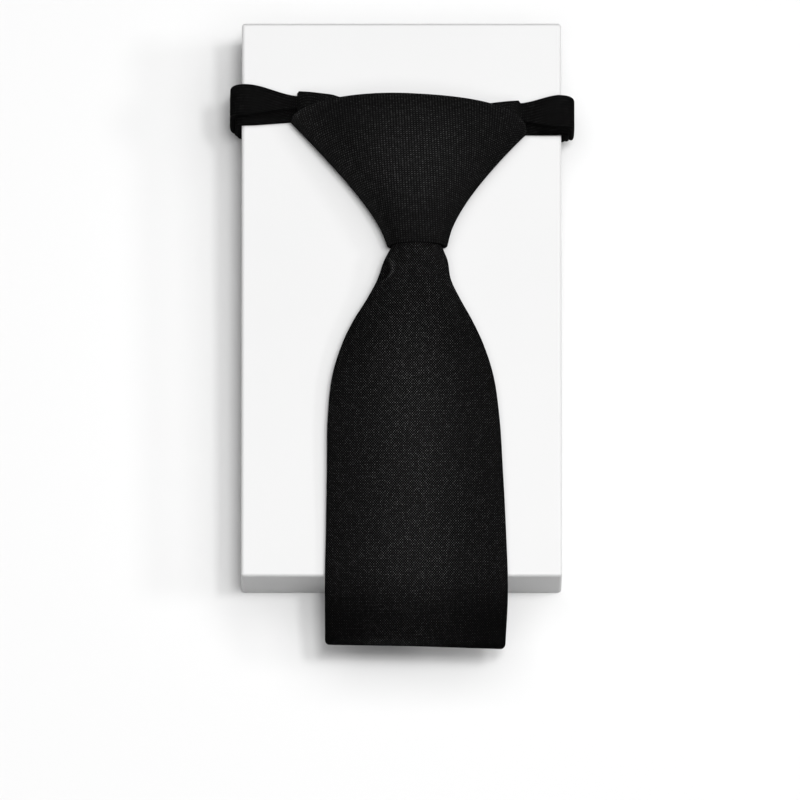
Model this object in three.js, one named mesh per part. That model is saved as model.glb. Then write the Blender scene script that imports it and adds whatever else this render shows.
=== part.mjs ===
// A ready-knotted zip tie with a square-ended blade, wrapped round a plain display block.
// Millimetres. In the block's own frame X runs across the block, +Y towards its head end
// and +Z out of its front face, which lies at Z = 0. At the end the whole is tipped on to
// the surface that it lies on, with the origin at the middle of its footprint.
import * as THREE from 'three';

// Clearance between pieces that touch on the real thing.
const clearance = 0.3;

// Display block.
const blockWidth = 96.4;
const blockLength = 170.6;
const blockThickness = 25;
const blockEdgeRadius = 1;
const blockStrips = 5;

// Neck band: cloth folded double, with its upper ply set back from the lower one.
const bandFromHead = 26.2;
const bandWidth = 12.7;
const bandPly = 1.6;
const bandPressedPly = 1.1;
const bandSlack = 0.5;

// Knot, outer wrap.
const knotFromHead = 25.5;
const knotLength = 45.3;
const knotCrownRise = 7.7;
const knotTopWidth = 71.1;
const knotMouthWidth = 17.2;
const knotHeight = 18;
const knotSideHeight = 5;
const knotWall = 1.1;
const knotSlantWall = 0.4;
const knotSlope = 1.7;
const knotLeftRound = 1.85;
const knotRightRound = 3.4;
const knotLean = 2.6;
const knotBackCut = 3;

// Knot, inner wrap.
const wingDepth = 11;
const wingTuck = 1.5;
const wingDrop = 0.65;
const wingFlare = 6;

// Blade. The axis is that of the blade and the mouth of the knot, off the block's middle.
const tieAxis = 4.8;
const bladeLength = 120.1;
const bladeWidth = 55;
const bladeThickness = 3;
const bladeRoot = 11;
const bladeCrown = 1.9;
const bladeDroop = 4.6;
const bladeCorner = 1.4;
const bladeEndSlant = 0.6;
const dentDepth = 1.1;
const dentLength = 4.2;
const dentWidth = 2.7;
const dentFromMouth = 7;
const dentOffAxis = 8;

// Zip tail behind the blade.
const tailWidth = 18;
const tailNeckWidth = 10.5;
const tailThickness = 3;
const tailLength = 68;
const tailStep = 7;

// Places that follow from the sizes above.
const headEnd = blockLength / 2;
const footEnd = -blockLength / 2;
const bandMiddle = headEnd - bandFromHead;
const knotTop = headEnd - knotFromHead;
const knotMouth = knotTop - knotLength;
const knotSideLength = knotLength - knotCrownRise;
const knotTopAxis = tieAxis - knotLean;
const tailBase = clearance + knotWall + knotSlantWall + clearance;

// A smooth reading of one column of a table at a place between its rows.
function read(table, key, column, at) {
  const last = table.length - 1;
  let row = 0;
  while (row < last - 1 && at > table[row + 1][key]) row += 1;
  const from = table[row];
  const to = table[row + 1];
  const slope = (a, b) => (b[column] - a[column]) / (b[key] - a[key]);
  const here = slope(from, to);
  const before = row > 0 ? slope(table[row - 1], from) : here;
  const after = row + 2 <= last ? slope(to, table[row + 2]) : here;
  const easeIn = before * here > 0 ? (before + here) / 2 : 0;
  const easeOut = after * here > 0 ? (after + here) / 2 : 0;
  const span = to[key] - from[key];
  const u = THREE.MathUtils.clamp((at - from[key]) / span, 0, 1);
  const v = 1 - u;
  return from[column] * v * v * (1 + 2 * u) + to[column] * u * u * (1 + 2 * v)
    + span * u * v * (easeIn * v - easeOut * u);
}

const mix = THREE.MathUtils.lerp;
const smooth = (value, low, high) => THREE.MathUtils.smoothstep(value, low, high);

// A closed skin over rings of points that all have the same number of points. The ring
// list is either closed on itself or capped by a fan at each end. The sign of the volume
// that the faces enclose says whether they point outwards.
function skin(rings, closed) {
  const around = rings[0].length;
  const positions = rings.flat().flatMap((point) => [point.x, point.y, point.z]);
  const faces = [];
  const corner = (ring, place) => (ring % rings.length) * around + (place % around);
  const joins = closed ? rings.length : rings.length - 1;
  for (let ring = 0; ring < joins; ring += 1) {
    for (let place = 0; place < around; place += 1) {
      const a = corner(ring, place);
      const b = corner(ring, place + 1);
      const c = corner(ring + 1, place + 1);
      const d = corner(ring + 1, place);
      faces.push(a, b, c, a, c, d);
    }
  }
  if (!closed) {
    [0, rings.length - 1].forEach((ring, end) => {
      const middle = rings[ring].reduce((sum, point) => sum.add(point), new THREE.Vector3());
      middle.divideScalar(around);
      const hub = positions.length / 3;
      positions.push(middle.x, middle.y, middle.z);
      for (let place = 0; place < around; place += 1) {
        const a = corner(ring, place);
        const b = corner(ring, place + 1);
        faces.push(hub, end ? a : b, end ? b : a);
      }
    });
  }
  const vertex = (index) => new THREE.Vector3().fromArray(positions, 3 * index);
  let volume = 0;
  for (let face = 0; face < faces.length; face += 3) {
    const [a, b, c] = faces.slice(face, face + 3).map(vertex);
    volume += a.dot(b.cross(c)) / 6;
  }
  if (volume < 0) faces.reverse();
  const geometry = new THREE.BufferGeometry();
  geometry.setAttribute('position', new THREE.Float32BufferAttribute(positions, 3));
  geometry.setIndex(faces);
  geometry.computeVertexNormals();
  return geometry;
}

// The block is a bar with rounded edges. Its long faces are in strips, so that the stretch
// of its underside that is clear of the band is a face of its own.
function displayBlock() {
  const bends = 3;
  const ring = (y, inset) => {
    const x = blockWidth / 2 - blockEdgeRadius - inset;
    const z = blockThickness / 2 - blockEdgeRadius - inset;
    const points = [];
    [[x, z], [-x, z], [-x, -z], [x, -z]].forEach(([cornerX, cornerZ], quarter) => {
      for (let bend = 0; bend <= bends; bend += 1) {
        const turn = Math.PI / 2 * (quarter + bend / bends);
        points.push(new THREE.Vector3(
          cornerX + blockEdgeRadius * Math.cos(turn),
          y,
          cornerZ + blockEdgeRadius * Math.sin(turn) - blockThickness / 2,
        ));
      }
    });
    return points;
  };
  const rounded = (end, bend) => {
    const turn = Math.PI / 2 * bend / bends;
    const away = blockEdgeRadius * (1 - Math.sin(turn));
    return ring(end - Math.sign(end) * away, blockEdgeRadius * (1 - Math.cos(turn)));
  };
  const rings = [];
  for (let bend = bends; bend >= 0; bend -= 1) rings.push(rounded(headEnd, bend));
  for (let strip = 1; strip < blockStrips; strip += 1) {
    rings.push(ring(mix(headEnd, footEnd, strip / blockStrips), 0));
  }
  for (let bend = 0; bend <= bends; bend += 1) rings.push(rounded(footEnd, bend));
  return skin(rings, false);
}

// The band's edges round the loop, as shares of its width from its middle line. One leg of
// "around" is a face, a side, the underside, the other side and the other half of the face.
// "slack" is how far it stands off the block and "pressed" how far it is pressed flat.
const bandEdges = [
  { around: 0, low: -0.36, fold: -0.16, top: 0.12, slack: 0, pressed: 0 },
  { around: 0.7, low: -0.38, fold: -0.09, top: 0.255, slack: 0, pressed: 0 },
  { around: 1, low: -0.49, fold: -0.22, top: 0.54, slack: 0, pressed: 0 },
  { around: 1.5, low: -0.47, fold: -0.38, top: 0.5, slack: 0.4, pressed: 0 },
  { around: 2, low: -0.38, fold: -0.25, top: 0.46, slack: 0, pressed: 1 },
  { around: 3, low: -0.42, fold: -0.3, top: 0.27, slack: 0, pressed: 1 },
  { around: 3.5, low: -0.58, fold: -0.5, top: 0.27, slack: 1, pressed: 0 },
  { around: 4, low: -0.72, fold: -0.49, top: 0.275, slack: 1, pressed: 0 },
  { around: 4.27, low: -0.68, fold: -0.38, top: 0.07, slack: 0, pressed: 0 },
  { around: 5, low: -0.36, fold: -0.16, top: 0.12, slack: 0, pressed: 0 },
];

// The band's outline across its width: each point is inset from the edge that it names and
// stands off the block, both as shares of one ply.
const bandOutline = [
  { edge: 'low', inset: 0.3, height: 0 },
  { edge: 'low', inset: 0, height: 0.5 },
  { edge: 'low', inset: 0.3, height: 1 },
  { edge: 'fold', inset: 0.1, height: 1 },
  { edge: 'fold', inset: 0, height: 1.5 },
  { edge: 'fold', inset: 0.4, height: 2 },
  { edge: 'top', inset: -0.6, height: 2 },
  { edge: 'top', inset: 0, height: 1 },
  { edge: 'top', inset: -0.6, height: 0 },
];

// One turn of the band: where its inner side lies and which way it faces. The legs run
// from behind the knot over the left side, the underside and the right side.
function bandPath() {
  const x = blockWidth / 2 - blockEdgeRadius;
  const top = -blockEdgeRadius;
  const bottom = blockEdgeRadius - blockThickness;
  const legs = [
    { from: [knotTopAxis, top], to: [-x, top], turn: 90, parts: 10 },
    { from: [-x, top], to: [-x, bottom], turn: 180, parts: 4 },
    { from: [-x, bottom], to: [x, bottom], turn: 270, parts: 6 },
    { from: [x, bottom], to: [x, top], turn: 360, parts: 4 },
    { from: [x, top], to: [knotTopAxis, top], turn: 450, parts: 9 },
  ];
  const cornerParts = 4;
  const stations = [];
  legs.forEach((leg, index) => {
    for (let part = 0; part <= leg.parts; part += 1) {
      const share = part / leg.parts;
      stations.push({
        around: index + share,
        x: mix(leg.from[0], leg.to[0], share),
        z: mix(leg.from[1], leg.to[1], share),
        turn: leg.turn,
      });
    }
    const isLast = index === legs.length - 1;
    for (let part = 1; part < cornerParts && !isLast; part += 1) {
      const turn = leg.turn + 90 * part / cornerParts;
      stations.push({ around: index + 1, x: leg.to[0], z: leg.to[1], turn });
    }
  });
  stations.pop();
  return stations;
}

function neckBand() {
  const rings = bandPath().map(({ around, x, z, turn }) => {
    const share = (column) => read(bandEdges, 'around', column, around);
    const ply = mix(bandPly, bandPressedPly, share('pressed'));
    const inner = blockEdgeRadius + clearance + bandSlack * share('slack');
    const out = THREE.MathUtils.degToRad(turn);
    return bandOutline.map(({ edge, inset, height }) => new THREE.Vector3(
      x + (inner + height * ply) * Math.cos(out),
      bandMiddle + bandWidth * share(edge) + inset * ply,
      z + (inner + height * ply) * Math.sin(out),
    ));
  });
  return skin(rings, true);
}

// The knot from its mouth to its upper rim: half width as a share of the way from the
// mouth's to the rim's, height as a share of the knot's, side height as a share of its own,
// and "slant" is how much of the slanting sides' extra wall there is.
const knotSections = [
  { along: 0, spread: 0, height: 0.69, side: 1, slant: 0 },
  { along: 0.16, spread: 0.07, height: 0.77, side: 1, slant: 0.25 },
  { along: 0.32, spread: 0.195, height: 0.87, side: 1, slant: 0.7 },
  { along: 0.5, spread: 0.38, height: 0.95, side: 1, slant: 1 },
  { along: 0.72, spread: 0.645, height: 1, side: 1, slant: 1 },
  { along: 0.9, spread: 0.87, height: 0.97, side: 0.88, slant: 1 },
  { along: 1, spread: 1, height: 0.79, side: 0.78, slant: 1 },
];
// How round the wrap is: across its front, at its side edges, on its back and at its rim.
const domeRound = { across: 2.2, edge: 0.6 };
const backRound = { across: 4, edge: 0.5 };
const domeShare = (across) => (1 - Math.abs(across) ** domeRound.across) ** domeRound.edge;
const backShare = (across) => (1 - Math.abs(across) ** backRound.across) ** backRound.edge;
const rimShare = (across) => {
  const round = across < 0 ? knotLeftRound : knotRightRound;
  return (1 - Math.abs(across) ** round) ** (1 / round);
};
const rimBend = 1.6;

// A point of the knot's wrap, a given inset in from its outer side. The angle runs from
// the right tip over the front to the left tip and back along the block.
function knotPoint(along, angle, inset) {
  const value = (column) => read(knotSections, 'along', column, along);
  const across = Math.cos(angle);
  const front = Math.sin(angle) >= 0;
  const half = mix(knotMouthWidth, knotTopWidth, value('spread')) / 2 - inset;
  const crown = knotHeight * value('height') - inset;
  const side = knotSideHeight * value('side');
  const slope = knotSlope * along ** 2 * across;
  const rise = knotCrownRise * along ** rimBend * rimShare(across);
  const drop = knotBackCut * along ** 2 * backShare(across);
  return new THREE.Vector3(
    mix(tieAxis, knotTopAxis, along) + half * across,
    knotMouth + knotSideLength * along - slope + (front ? rise : -drop),
    front ? mix(side, crown, domeShare(across)) : mix(side, clearance + inset, backShare(across)),
  );
}

const knotInset = (along) => (
  knotWall + knotSlantWall * read(knotSections, 'along', 'slant', along)
);

function knotFace() {
  const sections = 12;
  const around = 36;
  const ring = (along, inset, beyond) => {
    const points = [];
    for (let place = 0; place < around; place += 1) {
      const point = knotPoint(along, 2 * Math.PI * place / around, inset);
      point.y += beyond;
      points.push(point);
    }
    return points;
  };
  const rings = [];
  for (let section = 0; section <= sections; section += 1) {
    const along = section / sections;
    rings.push(ring(along, 0, 0));
  }
  rings.push(ring(1, knotInset(1) / 2, knotInset(1) / 3));
  for (let section = sections; section >= 0; section -= 1) {
    const along = section / sections;
    rings.push(ring(along, knotInset(along), 0));
  }
  rings.push(ring(0, knotInset(0) / 2, -knotInset(0) / 3));
  return skin(rings, true);
}

// The inner wrap from the knot's middle out to its tips: how far it has come out from
// under the outer wrap, how far it rises along its wing, how far its lower edge has closed
// up on the rim, and how far it has passed from the tail on to the band.
const wrapSections = [
  { side: 0, out: 0, rise: -0.6, closed: 0, onBand: 0 },
  { side: 0.3, out: 0, rise: -0.3, closed: 0, onBand: 0 },
  { side: 0.6, out: 0.84, rise: 0, closed: 0, onBand: 1 },
  { side: 0.7, out: 1, rise: 0.1, closed: 0.2, onBand: 1 },
  { side: 0.95, out: 1, rise: 0.35, closed: 1, onBand: 1 },
  { side: 1, out: 1, rise: 0.4, closed: 1, onBand: 1 },
];

// The inner wrap is the roll of cloth that fills the top of the knot, over the band and the
// tail. It lies close under the outer wrap and ends in a wing above it at each side.
function knotBack() {
  const parts = 24;
  const around = 12;
  const tipAngle = 0.16;
  const boxy = (wave) => Math.sign(wave) * Math.sqrt(Math.abs(wave));
  const overTail = tailBase + tailThickness + clearance;
  const overBand = clearance + 2 * bandPly + clearance;
  const rings = [];
  for (let part = 0; part <= parts; part += 1) {
    const angle = mix(Math.PI - tipAngle, tipAngle, part / parts);
    const across = Math.cos(angle);
    const share = (column) => read(wrapSections, 'side', column, Math.abs(across));
    const rim = knotPoint(1, angle, knotInset(1) + clearance);
    const slope = knotSlope * Math.sign(across);
    const wing = knotTop - wingDrop - slope + wingFlare * share('rise');
    const top = mix(rim.y - wingTuck, wing, share('out'));
    const low = mix(top - wingDepth, rim.y + clearance, share('closed'));
    const under = mix(overTail, overBand, share('onBand'));
    const points = [];
    for (let place = 0; place < around; place += 1) {
      const turn = 2 * Math.PI * place / around;
      points.push(new THREE.Vector3(
        rim.x,
        mix(low, top, 0.5 + 0.5 * boxy(Math.cos(turn))),
        mix(under, rim.z, 0.5 + 0.5 * boxy(Math.sin(turn))),
      ));
    }
    rings.push(points);
  }
  return skin(rings, false);
}

// The blade from the mouth of the knot to its square end. Half width as a share of half
// its width, its middle's shift as a share of its width, "mouth" is how much of the
// gathered shape of the mouth is left, and "lift" how far it still rides on the tail.
const bladeSections = [
  { along: -0.1, spread: 0.25, shift: 0, mouth: 1, lift: 1 },
  { along: 0.005, spread: 0.258, shift: -0.004, mouth: 1, lift: 1 },
  { along: 0.014, spread: 0.312, shift: -0.006, mouth: 0.97, lift: 1 },
  { along: 0.03, spread: 0.345, shift: -0.008, mouth: 0.92, lift: 1 },
  { along: 0.08, spread: 0.404, shift: -0.018, mouth: 0.78, lift: 1 },
  { along: 0.13, spread: 0.515, shift: -0.021, mouth: 0.62, lift: 1 },
  { along: 0.18, spread: 0.645, shift: -0.025, mouth: 0.46, lift: 1 },
  { along: 0.24, spread: 0.77, shift: -0.026, mouth: 0.3, lift: 1 },
  { along: 0.32, spread: 0.88, shift: -0.025, mouth: 0.14, lift: 1 },
  { along: 0.43, spread: 0.94, shift: -0.021, mouth: 0.03, lift: 1 },
  { along: 0.56, spread: 0.962, shift: -0.014, mouth: 0, lift: 0.9 },
  { along: 0.72, spread: 0.985, shift: -0.008, mouth: 0, lift: 0.4 },
  { along: 0.86, spread: 1, shift: -0.006, mouth: 0, lift: 0.1 },
  { along: 1, spread: 0.984, shift: -0.013, mouth: 0, lift: 0.1 },
];
// How full the blade is out to its edges, and how its arch and its droop curve.
const bladeRound = { edge: 8, arch: 2.2, droop: 1.5 };
const edgeShare = (across) => Math.sqrt(Math.max(0, 1 - across ** bladeRound.edge));

// A point of the blade's front (side 1) or back (side -1).
function bladePoint(along, across, side, pinch) {
  const value = (column) => read(bladeSections, 'along', column, along);
  const half = bladeWidth / 2 * value('spread') - pinch;
  const y = knotMouth - bladeLength * along;
  const past = Math.max(0, footEnd + bladeCorner - y) / (bladeLength - (knotMouth - footEnd));
  const ride = (tailThickness + clearance - bladeCrown) * value('lift');
  const droop = bladeDroop * past ** bladeRound.droop;
  const level = clearance + bladeThickness / 2 + ride - droop;
  const arch = bladeCrown * (1 - Math.abs(across) ** bladeRound.arch);
  const flat = level + arch + side * bladeThickness / 2 * edgeShare(across);
  const crown = knotHeight * knotSections[0].height - knotWall - clearance;
  const edge = tailBase + tailThickness + 2 * clearance;
  const gathered = side > 0
    ? mix(edge, crown, domeShare(across))
    : edge - clearance * edgeShare(across);
  const away = (y - knotMouth + dentFromMouth) / dentLength;
  const aside = (half * across + dentOffAxis) / dentWidth;
  const dent = side > 0 ? dentDepth * Math.exp(-(away ** 2) - aside ** 2) : 0;
  return new THREE.Vector3(
    tieAxis + bladeWidth * value('shift') + half * across,
    y - bladeEndSlant * across * past,
    mix(flat, gathered, value('mouth')) - dent,
  );
}

function blade() {
  const across = 14;
  const steps = 3;
  const rows = [-bladeRoot / bladeLength];
  bladeSections.slice(1).forEach(({ along }) => {
    const from = rows[rows.length - 1];
    for (let step = 1; step <= steps; step += 1) rows.push(mix(from, along, step / steps));
  });
  rows.pop();
  const rings = rows.map((along) => ({ along, pinch: 0 }));
  for (let step = 0; step <= steps; step += 1) {
    const bend = Math.PI / 2 * step / steps;
    rings.push({
      along: 1 - bladeCorner * (1 - Math.sin(bend)) / bladeLength,
      pinch: bladeCorner * (1 - Math.cos(bend)),
    });
  }
  return skin(rings.map(({ along, pinch }) => {
    const points = [];
    for (let place = 0; place < across; place += 1) {
      points.push(bladePoint(along, -Math.cos(Math.PI * place / across), 1, pinch));
    }
    for (let place = 0; place < across; place += 1) {
      points.push(bladePoint(along, Math.cos(Math.PI * place / across), -1, pinch));
    }
    return points;
  }), false);
}

// The tail comes down through the knot, out of its mouth and lies under the blade.
function zipTail() {
  const start = bandMiddle + bandWidth * bandEdges[0].low - clearance;
  const end = knotMouth - tailLength;
  const parts = 20;
  const rings = [];
  for (let part = 0; part <= parts; part += 1) {
    const y = mix(start, end, part / parts);
    const out = smooth(knotMouth - y, 0, tailStep);
    const half = mix(tailNeckWidth, tailWidth, smooth(knotMouth - y, 0, tailLength / 2)) / 2;
    const base = mix(tailBase, clearance, out);
    const round = tailThickness / 3;
    const ends = part === 0 || part === parts ? round : 0;
    const point = (x, z) => new THREE.Vector3(tieAxis + x, y, base + z);
    rings.push([
      point(-half + round, ends / 2),
      point(-half + ends, tailThickness / 2),
      point(-half + round, tailThickness - ends / 2),
      point(half - round, tailThickness - ends / 2),
      point(half - ends, tailThickness / 2),
      point(half - round, ends / 2),
    ]);
  }
  return skin(rings, false);
}

const cloth = { color: 0x0d0d0e, roughness: 0.9, metalness: 0 };
const board = { color: 0xf2f2f1, roughness: 0.5, metalness: 0 };

function piece(name, geometry, finish) {
  const mesh = new THREE.Mesh(geometry, new THREE.MeshStandardMaterial(finish));
  mesh.name = name;
  return mesh;
}

const tie = new THREE.Group();
tie.add(
  piece('display_block', displayBlock(), board),
  piece('neck_band', neckBand(), cloth),
  piece('knot_back', knotBack(), cloth),
  piece('knot_face', knotFace(), cloth),
  piece('blade', blade(), cloth),
  piece('zip_tail', zipTail(), cloth),
);

// The block lies on the edge of its foot end and, at the head end, on the band.
const bandLowEdge = bandMiddle + bandWidth * bandEdges[4].low;
tie.rotation.x = Math.atan((clearance + 2 * bandPressedPly) / (bandLowEdge - footEnd));

const laid = new THREE.Group();
laid.add(tie);
laid.updateMatrixWorld(true);
const reach = new THREE.Box3().setFromObject(laid, true);
const footprint = reach.getCenter(new THREE.Vector3());
tie.position.set(-footprint.x, -footprint.y, -reach.min.z);

export default laid;
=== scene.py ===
"""A ready-knotted black zip tie round a white display block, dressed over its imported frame.

Lengths are in metres. On the block, +X is right, +Y is towards the knot and +Z is up.
"""

import math

import bmesh
import bpy
import numpy as np
from mathutils import Matrix, Vector


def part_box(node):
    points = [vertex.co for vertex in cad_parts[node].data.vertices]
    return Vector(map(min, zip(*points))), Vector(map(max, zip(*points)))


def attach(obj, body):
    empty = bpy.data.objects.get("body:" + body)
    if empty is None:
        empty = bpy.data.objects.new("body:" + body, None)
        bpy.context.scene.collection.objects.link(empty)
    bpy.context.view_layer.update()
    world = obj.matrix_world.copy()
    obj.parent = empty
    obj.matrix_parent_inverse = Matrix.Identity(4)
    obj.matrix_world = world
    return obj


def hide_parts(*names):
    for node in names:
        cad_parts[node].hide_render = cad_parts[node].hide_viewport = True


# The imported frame. The block and the tie lie tipped a little, on the block's foot edge and
# on the band behind it, so every piece is shaped on a level block and then laid like that.
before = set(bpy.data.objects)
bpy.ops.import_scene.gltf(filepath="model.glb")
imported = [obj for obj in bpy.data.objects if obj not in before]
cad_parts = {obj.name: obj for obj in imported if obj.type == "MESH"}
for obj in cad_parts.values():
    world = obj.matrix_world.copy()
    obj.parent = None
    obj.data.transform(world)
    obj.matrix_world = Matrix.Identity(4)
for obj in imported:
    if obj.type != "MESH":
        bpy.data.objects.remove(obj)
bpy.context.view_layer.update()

CLEARANCE = 0.0003
BLOCK_LENGTH = 0.1706
BLOCK_THICKNESS = 0.025
BLOCK_EDGE = 0.001
HEAD_END = BLOCK_LENGTH / 2
FOOT_END = -BLOCK_LENGTH / 2
BAND_PRESSED_PLY = 0.0011
BAND_MIDDLE = HEAD_END - 0.0262
BAND_WIDTH = 0.0127
BAND_LOW_UNDER = -0.38

block_low, block_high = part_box("display_block")
band_edge_under = BAND_MIDDLE + BAND_WIDTH * BAND_LOW_UNDER
tip = math.atan((CLEARANCE + 2 * BAND_PRESSED_PLY) / (band_edge_under - FOOT_END))
run = BLOCK_LENGTH / 2 - BLOCK_EDGE
laid_place = Vector((
    (block_low.x + block_high.x) / 2,
    block_low.y + run * math.cos(tip) - BLOCK_EDGE * math.sin(tip) + BLOCK_EDGE,
    block_low.z + run * math.sin(tip) + (BLOCK_THICKNESS - BLOCK_EDGE) * math.cos(tip) + BLOCK_EDGE,
))
LAID = Matrix.Translation(laid_place) @ Matrix.Rotation(tip, 4, "X")


# The camera looks down on the block from a little past its foot, as through a long lens.
# The view is set in the block's own frame: how far it leans and where its middle falls.
VIEW_LEAN = math.radians(12)
VIEW_DISTANCE = 6.0
VIEW_WIDTH = 0.24096
VIEW_MIDDLE = (-0.00045, -0.03042)
VIEW_REACH = 30.0
SENSOR = 36.0

look = Vector((0, -math.sin(VIEW_LEAN), math.cos(VIEW_LEAN)))
up = Vector((0, math.cos(VIEW_LEAN), math.sin(VIEW_LEAN)))
across_view = up.cross(look)
eye = across_view * VIEW_MIDDLE[0] + up * VIEW_MIDDLE[1] + look * VIEW_DISTANCE
camera_axes = Matrix((across_view, up, look)).transposed().to_4x4()
camera_data = bpy.data.cameras.new("camera")
camera_data.sensor_width = SENSOR
camera_data.lens = SENSOR * VIEW_DISTANCE / VIEW_WIDTH
camera_data.clip_end = VIEW_REACH
camera = bpy.data.objects.new("camera", camera_data)
camera.matrix_world = LAID @ Matrix.Translation(eye) @ camera_axes
bpy.context.scene.collection.objects.link(camera)
bpy.context.scene.camera = camera
bpy.context.scene.view_settings.view_transform = "Standard"


# Studio light: one wide softbox overhead, a slim one over the block's foot and two off to the
# right, so that shadows fall to the left with soft ends. Each leans (right, head) per metre
# of height. All round them the studio is dark.
SOFTBOX_HEIGHT = 3.6
STUDIO_GLOW = 0.0
SOFTBOXES = [
    {"name": "overhead", "lean": (0.1, 0.0), "width": 4.5, "depth": 4.5, "watts": 116.0},
    {"name": "key", "lean": (0.3, 0.0), "width": 0.5, "depth": 0.4, "watts": 28.0},
    {"name": "foot", "lean": (0.08, -0.08), "width": 0.8, "depth": 0.3, "watts": 48.0},
    {"name": "side", "lean": (1.2, 0.0), "width": 1.2, "depth": 0.8, "watts": 44.0},
]

for box in SOFTBOXES:
    data = bpy.data.lights.new(box["name"], "AREA")
    data.shape = "RECTANGLE"
    data.size = box["width"]
    data.size_y = box["depth"]
    data.energy = box["watts"]
    lamp = bpy.data.objects.new(box["name"], data)
    away = Vector((box["lean"][0], box["lean"][1], 1.0))
    lamp.location = away * SOFTBOX_HEIGHT
    lamp.rotation_euler = away.to_track_quat("Z", "Y").to_euler()
    bpy.context.scene.collection.objects.link(lamp)
studio = bpy.data.worlds.new("studio")
studio.use_nodes = True
studio.node_tree.nodes["Background"].inputs["Strength"].default_value = STUDIO_GLOW
bpy.context.scene.world = studio


class Socket:
    """A socket of a node tree that can be reckoned with in plain Python."""

    def __init__(self, tree, source):
        self.tree = tree
        self.source = source

    def node(self, kind, settings=None, out=0, **inputs):
        """A new node in the same tree. Its inputs go by name, or as i0, i1 and so on."""
        made = self.tree.nodes.new(kind)
        for key, setting in (settings or {}).items():
            setattr(made, key, setting)
        for key, value in inputs.items():
            index = int(key[1:]) if key[0] == "i" and key[1:].isdigit() else key.replace("_", " ")
            if isinstance(value, Socket):
                self.tree.links.new(value.source, made.inputs[index])
            else:
                made.inputs[index].default_value = value
        return Socket(self.tree, made.outputs[out])

    def maths(self, operation, other=0.0):
        return self.node("ShaderNodeMath", {"operation": operation}, i0=self, i1=other)

    def __add__(self, other):
        return self.maths("ADD", other)

    def __mul__(self, other):
        return self.maths("MULTIPLY", other)

    def __sub__(self, other):
        return self.maths("SUBTRACT", other)

    def __rsub__(self, other):
        return self.node("ShaderNodeMath", {"operation": "SUBTRACT"}, i0=other, i1=self)

    def __pow__(self, other):
        return self.maths("POWER", other)

    __radd__ = __add__


def material(name, surface):
    """A new material, its shader with an even surface, and the place on the piece as a socket."""
    made = bpy.data.materials.new(name)
    made.use_nodes = True
    tree = made.node_tree
    shader = tree.nodes["Principled BSDF"]
    for key, value in surface.items():
        shader.inputs[key].default_value = value
    places = tree.nodes.new("ShaderNodeTexCoord")
    return made, shader, Socket(tree, places.outputs["Object"])


# The floor is a plain, pale and matt table top.
FLOOR_SIDE = 8.0
FLOOR_SURFACE = {"Base Color": (0.8, 0.8, 0.8, 1), "Roughness": 0.9, "Specular IOR Level": 0.1}

half = FLOOR_SIDE / 2
floor_corners = [(-half, -half, 0), (half, -half, 0), (half, half, 0), (-half, half, 0)]
floor_mesh = bpy.data.meshes.new("floor")
floor_mesh.from_pydata(floor_corners, [], [(0, 1, 2, 3)])
floor_mesh.materials.append(material("table_top", FLOOR_SURFACE)[0])
floor = bpy.data.objects.new("floor", floor_mesh)
bpy.context.scene.collection.objects.link(floor)


def hand_over(piece, node):
    """A finished piece rides on the frame's one body and stands for its plain solid there."""
    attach(piece, "root")
    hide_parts(node)


# Display block: a plain board block, planed square, its edges eased to a small radius and
# the whole sprayed with white satin lacquer. Its two end faces are painted greyer, as painted shade.
BLOCK_WIDTH = 0.0964
EASING_PARTS = 7
EASING_ROUND = 0.5
LACQUER_LOW = (0.68, 0.68, 0.68, 1)
LACQUER_HIGH = (0.72, 0.72, 0.72, 1)
# The grey of the end faces' painted shade.
END_SHADE_TONE = (0.5, 0.5, 0.5, 1)
LACQUER_SHINE = 0.3
LACQUER_ROUGHNESS = 0.36
LACQUER_CLOUDED = 0.12
LACQUER_CLOUDS = {"Scale": 24.0, "Detail": 3.0}
LACQUER_PEEL = {"Scale": 900.0, "Detail": 2.0}
PEEL_RELIEF = {"Strength": 0.25, "Distance": 0.00002}

bar = bmesh.new()
bmesh.ops.create_cube(bar, size=1)
bmesh.ops.scale(bar, vec=(BLOCK_WIDTH, BLOCK_LENGTH, BLOCK_THICKNESS), verts=bar.verts)
bmesh.ops.translate(bar, vec=(0, 0, -BLOCK_THICKNESS / 2), verts=bar.verts)
bmesh.ops.bevel(
    bar, geom=bar.edges[:], offset=BLOCK_EDGE, offset_type="OFFSET", segments=EASING_PARTS,
    profile=EASING_ROUND, affect="EDGES",
)
for face in bar.faces:
    face.smooth = face.calc_area() < BLOCK_THICKNESS * BLOCK_THICKNESS
# Painted shade: the end faces and their eased edges are painted greyer.
painted_end_shade = [max(0, 1 - (BLOCK_LENGTH / 2 - abs(corner.co.y)) / BLOCK_EDGE) for corner in bar.verts]
bmesh.ops.transform(bar, matrix=LAID, verts=bar.verts)
block_mesh = bpy.data.meshes.new("block")
bar.to_mesh(block_mesh)
bar.free()
block_mesh.attributes.new("painted_end_shade", "FLOAT", "POINT").data.foreach_set("value", painted_end_shade)
block = bpy.data.objects.new("block", block_mesh)
bpy.context.scene.collection.objects.link(block)

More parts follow.
